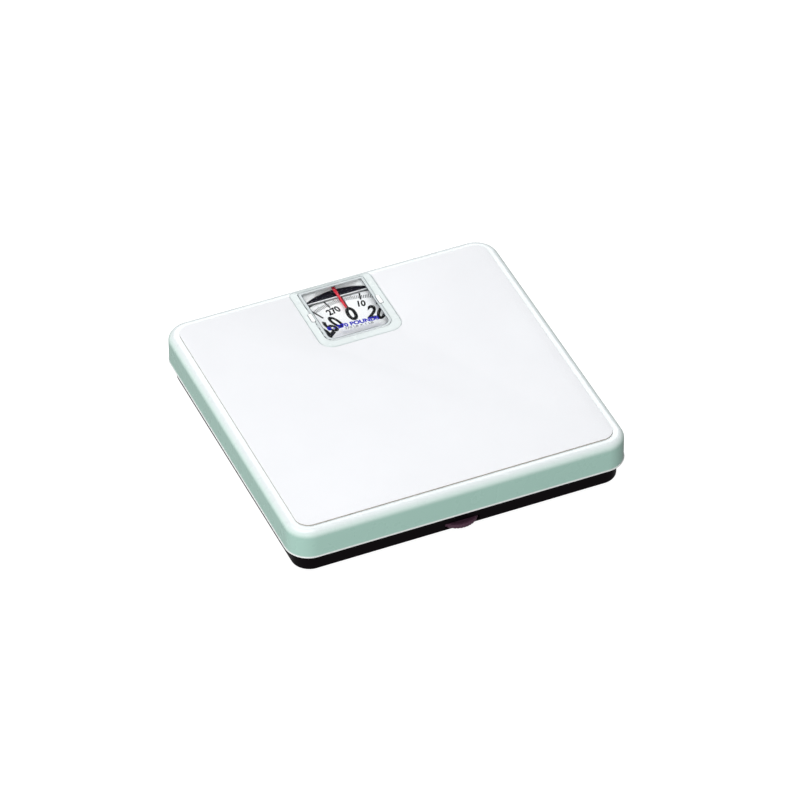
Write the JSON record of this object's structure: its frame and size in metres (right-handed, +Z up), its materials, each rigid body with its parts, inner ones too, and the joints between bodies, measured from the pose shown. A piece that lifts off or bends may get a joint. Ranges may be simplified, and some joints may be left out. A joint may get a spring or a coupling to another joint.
{
  "type": "mechanical dial platform scale",
  "caption": "Low square-cornered mechanical platform scale with a pale enamelled cover, a white vinyl mat, a black base and a numbered dial under a window.",
  "frame": {"origin": "centre of the overall box's underside, on the floor that the feet stand on", "axes": "+Z up, +X across the platform to the right of a person standing on it, +Y from the heels towards the dial window"},
  "size_m": [0.3, 0.291, 0.0495],
  "materials": {
    "mint_enamel": "semi-gloss stoved enamel, pale mint",
    "white_vinyl": "matt embossed white vinyl mat",
    "black_enamel": "gloss black stoved enamel",
    "zinc_steel": "zinc-plated pressed steel",
    "spring_steel": "bright spring steel",
    "brass": "machined brass",
    "clear_lens": "clear moulded lens",
    "dial_white": "thin disc, printed matt white with black numerals",
    "mask_grey": "light grey card-like plastic",
    "plate_black": "matt black plastic",
    "pointer_red": "red moulded plastic",
    "wheel_plastic": "dull plum-brown moulded plastic",
    "foot_rubber": "black rubber"
  },
  "bodies": {
    "base": {"base_pan": "black_enamel", "foot_front_left": "foot_rubber", "foot_front_right": "foot_rubber", "foot_rear_left": "foot_rubber", "foot_rear_right": "foot_rubber", "fulcrum_bracket_rear_left": "zinc_steel", "fulcrum_bracket_rear_right": "zinc_steel", "fulcrum_bracket_front_left": "zinc_steel", "fulcrum_bracket_front_right": "zinc_steel", "crank_bracket": "zinc_steel", "crank_pin": "zinc_steel", "wheel_bridge": "zinc_steel", "dial_bridge": "zinc_steel", "bridge_post_1": "zinc_steel", "bridge_post_2": "zinc_steel", "bridge_post_3": "zinc_steel", "bridge_screw_1": "zinc_steel", "bridge_screw_2": "zinc_steel", "bridge_screw_3": "zinc_steel", "spindle_bush": "brass", "rack_guide": "brass", "hairspring": "spring_steel", "hairspring_stud": "brass", "hold_down_spring_left": "spring_steel", "hold_down_spring_right": "spring_steel"},
    "platform": {"platform_cover": "mint_enamel", "platform_mat": "white_vinyl", "window_frame": "mint_enamel", "window_lens": "clear_lens", "dial_mask": "mask_grey", "pointer_plate": "plate_black", "pointer": "pointer_red", "load_bracket_rear_left": "zinc_steel", "load_bracket_rear_right": "zinc_steel", "load_bracket_front_left": "zinc_steel", "load_bracket_front_right": "zinc_steel"},
    "dial": {"dial_disc": "dial_white", "dial_hub": "brass", "pinion": "brass", "spindle": "spring_steel", "hub_screw": "zinc_steel"},
    "long_lever_left_arm": {"long_lever_left": "zinc_steel", "long_fulcrum_pin_left": "spring_steel", "long_load_pin_left": "spring_steel"},
    "short_lever_left_arm": {"short_lever_left": "zinc_steel", "short_fulcrum_pin_left": "spring_steel", "short_load_pin_left": "spring_steel"},
    "long_lever_right_arm": {"long_lever_right": "zinc_steel", "long_fulcrum_pin_right": "spring_steel", "long_load_pin_right": "spring_steel"},
    "short_lever_right_arm": {"short_lever_right": "zinc_steel", "short_fulcrum_pin_right": "spring_steel", "short_load_pin_right": "spring_steel"},
    "calibrating_plate": {"calibration_plate": "zinc_steel", "main_spring": "spring_steel"},
    "crank": {"bell_crank": "zinc_steel"},
    "rack_bar": {"rack": "brass"},
    "zero_thumbwheel": {"zero_wheel": "wheel_plastic"},
    "yoke": {"spring_yoke": "zinc_steel"}
  },
  "joints": [
    {"name": "dial_turn", "type": "hinge", "parent": "base", "child": "dial", "pos_m": [0.0045, 0.0565, 0.0405], "axis": [0, 0, 1], "range_deg": [0, 347.14], "stiffness_Nm_per_rad": 0.0169, "springref_deg": -11.46},
    {"name": "platform_press", "type": "slide", "parent": "base", "child": "platform", "axis": [0, 0, -1], "range_m": [0, 0.00052]},
    {"name": "long_lever_left_tilt", "type": "hinge", "parent": "base", "child": "long_lever_left_arm", "pos_m": [-0.1061, 0.1, 0.0258], "axis": [1, 0, 0], "range_deg": [0, 1.5]},
    {"name": "short_lever_left_tilt", "type": "hinge", "parent": "base", "child": "short_lever_left_arm", "pos_m": [-0.1064, -0.095, 0.0258], "axis": [-1, 0, 0], "range_deg": [0, 1.5]},
    {"name": "long_lever_right_tilt", "type": "hinge", "parent": "base", "child": "long_lever_right_arm", "pos_m": [0.1061, 0.1, 0.0258], "axis": [1, 0, 0], "range_deg": [0, 1.5]},
    {"name": "short_lever_right_tilt", "type": "hinge", "parent": "base", "child": "short_lever_right_arm", "pos_m": [0.1064, -0.095, 0.0258], "axis": [-1, 0, 0], "range_deg": [0, 1.5]},
    {"name": "plate_drop", "type": "slide", "parent": "base", "child": "calibrating_plate", "axis": [0, 0, -1], "range_m": [0, 0.00525], "deforming": ["main_spring"]},
    {"name": "crank_swing", "type": "hinge", "parent": "base", "child": "crank", "pos_m": [-0.0045, -0.074, 0.0143], "axis": [1, 0, 0], "range_deg": [0, 43.8]},
    {"name": "rack_slide", "type": "slide", "parent": "base", "child": "rack_bar", "axis": [0, -1, 0], "range_m": [0, 0.0183]},
    {"name": "zero_wheel_turn", "type": "hinge", "parent": "base", "child": "zero_thumbwheel", "pos_m": [0, -0.1272, 0.0085], "axis": [0, 0, 1], "range_deg": [-360, 360]},
    {"name": "yoke_lift", "type": "slide", "parent": "base", "child": "yoke", "axis": [0, 0, 1], "range_m": [-0.001, 0.001]}
  ],
  "couplings": [
    {"joint": "platform_press", "follows": "dial_turn", "m_per_rad": 0.000085399},
    {"joint": "long_lever_left_tilt", "follows": "dial_turn", "ratio": 0.0042705},
    {"joint": "short_lever_left_tilt", "follows": "dial_turn", "ratio": 0.0042705},
    {"joint": "long_lever_right_tilt", "follows": "dial_turn", "ratio": 0.0042705},
    {"joint": "short_lever_right_tilt", "follows": "dial_turn", "ratio": 0.0042705},
    {"joint": "plate_drop", "follows": "dial_turn", "m_per_rad": 0.00085826},
    {"joint": "crank_swing", "follows": "dial_turn", "ratio": 0.12562},
    {"joint": "rack_slide", "follows": "dial_turn", "m_per_rad": 0.003},
    {"joint": "zero_wheel_turn", "follows": "yoke_lift", "rad_per_m": 6283.2}
  ]
}
